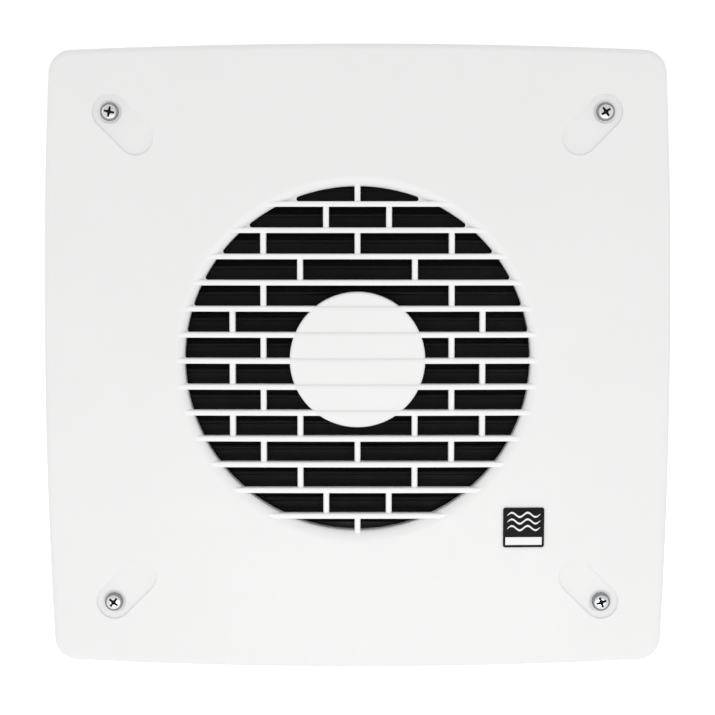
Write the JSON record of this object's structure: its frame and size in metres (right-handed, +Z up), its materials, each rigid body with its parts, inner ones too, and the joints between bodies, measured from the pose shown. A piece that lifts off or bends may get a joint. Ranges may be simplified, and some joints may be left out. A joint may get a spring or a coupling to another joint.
{
  "type": "heat recovery unit",
  "caption": "Through-wall heat recovery unit: white domed room grille over a louvre shutter and reversing fan, ceramic heat store in a telescopic duct, outdoor weather louvre.",
  "frame": {"origin": "on the duct's axis, in the plane of the inner wall that the unit is fixed to", "axes": "+Z up, +Y from the room through the wall to outdoors, +X to the right for someone in the room who faces the unit"},
  "size_m": [0.27, 0.3699, 0.27],
  "materials": {
    "white_plastic": "white moulded plastic, satin with a fine grain",
    "badge_black": "black plate with a plain printed white mark of three waves",
    "black_plastic": "black moulded plastic, matt",
    "grey_plastic": "mid-grey moulded plastic",
    "duct_plastic": "off-white extruded plastic tube",
    "zinc_steel": "bright zinc-plated steel",
    "motor_steel": "bare and plated steel",
    "steel_net": "steel net",
    "brass": "turned brass",
    "rubber": "black rubber",
    "foam": "dark closed-cell foam",
    "ceramic": "unglazed cream ceramic",
    "filter_media": "white non-woven filter mat",
    "circuit_board": "green coated circuit board",
    "terminal_plastic": "pale moulded plastic"
  },
  "bodies": {
    "unit": {"front_grille": "white_plastic", "badge": "badge_black", "shutter_frame": "black_plastic", "fan_shroud": "black_plastic", "base_frame": "grey_plastic", "control_box": "grey_plastic", "control_lid": "grey_plastic", "actuator_body": "grey_plastic", "filter_frame_inner": "grey_plastic", "filter_frame_outer": "grey_plastic", "duct_tube": "duct_plastic", "cable_grommet": "rubber", "duct_seal": "rubber", "motor_lead": "rubber", "wall_gasket": "foam", "core_sleeve": "foam", "heat_core": "ceramic", "filter_pad_inner": "filter_media", "filter_pad_outer": "filter_media", "motor_board": "circuit_board", "control_board": "circuit_board", "terminal_block": "terminal_plastic", "stator": "motor_steel", "bearing_front": "motor_steel", "bearing_back": "motor_steel", "cover_screw_top_left": "zinc_steel", "cover_screw_top_right": "zinc_steel", "cover_screw_bottom_left": "zinc_steel", "cover_screw_bottom_right": "zinc_steel", "clamp_screw_top_left": "zinc_steel", "clamp_screw_top_right": "zinc_steel", "clamp_screw_bottom_left": "zinc_steel", "clamp_screw_bottom_right": "zinc_steel"},
    "fan_rotor": {"impeller": "black_plastic", "rotor_can": "motor_steel", "motor_shaft": "motor_steel", "shaft_clip": "motor_steel"},
    "outdoor_end": {"duct_sleeve": "duct_plastic", "outer_frame": "grey_plastic", "outer_grille": "white_plastic", "insect_screen": "steel_net", "outer_screw_top_left": "zinc_steel", "outer_screw_top_right": "zinc_steel", "outer_screw_bottom_left": "zinc_steel", "outer_screw_bottom_right": "zinc_steel"},
    "link_bar": {"link_bar": "black_plastic"},
    "actuator_plunger": {"actuator_plunger": "brass"},
    "shutter_blade_01": {"shutter_blade_01": "black_plastic"},
    "shutter_blade_02": {"shutter_blade_02": "black_plastic"},
    "shutter_blade_03": {"shutter_blade_03": "black_plastic"},
    "shutter_blade_04": {"shutter_blade_04": "black_plastic"},
    "shutter_blade_05": {"shutter_blade_05": "black_plastic"},
    "shutter_blade_06": {"shutter_blade_06": "black_plastic"},
    "shutter_blade_07": {"shutter_blade_07": "black_plastic"},
    "shutter_blade_08": {"shutter_blade_08": "black_plastic"},
    "shutter_blade_09": {"shutter_blade_09": "black_plastic"},
    "shutter_blade_10": {"shutter_blade_10": "black_plastic"},
    "shutter_blade_11": {"shutter_blade_11": "black_plastic"},
    "shutter_blade_12": {"shutter_blade_12": "black_plastic"},
    "shutter_blade_13": {"shutter_blade_13": "black_plastic"}
  },
  "joints": [
    {"name": "impeller_spin", "type": "hinge", "parent": "unit", "child": "fan_rotor", "pos_m": [0, 0.004, 0], "axis": [0, 1, 0], "continuous": true},
    {"name": "duct_length", "type": "slide", "parent": "unit", "child": "outdoor_end", "axis": [0, 1, 0], "range_m": [-0.05, 0.07]},
    {"name": "shutter_tilt", "type": "hinge", "parent": "unit", "child": "shutter_blade_01", "pos_m": [0, -0.0282, 0.073], "axis": [1, 0, 0], "range_deg": [0, 80], "stiffness_Nm_per_rad": 0.05, "springref_deg": -17.19},
    {"name": "tilt_02", "type": "hinge", "parent": "unit", "child": "shutter_blade_02", "pos_m": [0, -0.0282, 0.0618], "axis": [1, 0, 0], "range_deg": [0, 80]},
    {"name": "tilt_03", "type": "hinge", "parent": "unit", "child": "shutter_blade_03", "pos_m": [0, -0.0282, 0.0506], "axis": [1, 0, 0], "range_deg": [0, 80]},
    {"name": "tilt_04", "type": "hinge", "parent": "unit", "child": "shutter_blade_04", "pos_m": [0, -0.0282, 0.0394], "axis": [1, 0, 0], "range_deg": [0, 80]},
    {"name": "tilt_05", "type": "hinge", "parent": "unit", "child": "shutter_blade_05", "pos_m": [0, -0.0282, 0.0282], "axis": [1, 0, 0], "range_deg": [0, 80]},
    {"name": "tilt_06", "type": "hinge", "parent": "unit", "child": "shutter_blade_06", "pos_m": [0, -0.0282, 0.017], "axis": [1, 0, 0], "range_deg": [0, 80]},
    {"name": "tilt_07", "type": "hinge", "parent": "unit", "child": "shutter_blade_07", "pos_m": [0, -0.0282, 0.0058], "axis": [1, 0, 0], "range_deg": [0, 80]},
    {"name": "tilt_08", "type": "hinge", "parent": "unit", "child": "shutter_blade_08", "pos_m": [0, -0.0282, -0.0054], "axis": [1, 0, 0], "range_deg": [0, 80]},
    {"name": "tilt_09", "type": "hinge", "parent": "unit", "child": "shutter_blade_09", "pos_m": [0, -0.0282, -0.0166], "axis": [1, 0, 0], "range_deg": [0, 80]},
    {"name": "tilt_10", "type": "hinge", "parent": "unit", "child": "shutter_blade_10", "pos_m": [0, -0.0282, -0.0278], "axis": [1, 0, 0], "range_deg": [0, 80]},
    {"name": "tilt_11", "type": "hinge", "parent": "unit", "child": "shutter_blade_11", "pos_m": [0, -0.0282, -0.039], "axis": [1, 0, 0], "range_deg": [0, 80]},
    {"name": "tilt_12", "type": "hinge", "parent": "unit", "child": "shutter_blade_12", "pos_m": [0, -0.0282, -0.0502], "axis": [1, 0, 0], "range_deg": [0, 80]},
    {"name": "tilt_13", "type": "hinge", "parent": "unit", "child": "shutter_blade_13", "pos_m": [0, -0.0282, -0.0614], "axis": [1, 0, 0], "range_deg": [0, 80]},
    {"name": "link_hinge", "type": "hinge", "parent": "shutter_blade_01", "child": "link_bar", "pos_m": [0.0783, -0.0236, 0.06914], "axis": [1, 0, 0], "range_deg": [-80, 0]},
    {"name": "plunger_lift", "type": "slide", "parent": "unit", "child": "actuator_plunger", "axis": [0, 0, 1], "range_m": [0, 0.0078]}
  ],
  "couplings": [
    {"joint": "tilt_02", "follows": "shutter_tilt", "ratio": 1},
    {"joint": "tilt_03", "follows": "shutter_tilt", "ratio": 1},
    {"joint": "tilt_04", "follows": "shutter_tilt", "ratio": 1},
    {"joint": "tilt_05", "follows": "shutter_tilt", "ratio": 1},
    {"joint": "tilt_06", "follows": "shutter_tilt", "ratio": 1},
    {"joint": "tilt_07", "follows": "shutter_tilt", "ratio": 1},
    {"joint": "tilt_08", "follows": "shutter_tilt", "ratio": 1},
    {"joint": "tilt_09", "follows": "shutter_tilt", "ratio": 1},
    {"joint": "tilt_10", "follows": "shutter_tilt", "ratio": 1},
    {"joint": "tilt_11", "follows": "shutter_tilt", "ratio": 1},
    {"joint": "tilt_12", "follows": "shutter_tilt", "ratio": 1},
    {"joint": "tilt_13", "follows": "shutter_tilt", "ratio": 1},
    {"joint": "link_hinge", "follows": "shutter_tilt", "ratio": -1},
    {"joint": "plunger_lift", "follows": "shutter_tilt", "m_per_rad": 0.0055244}
  ]
}
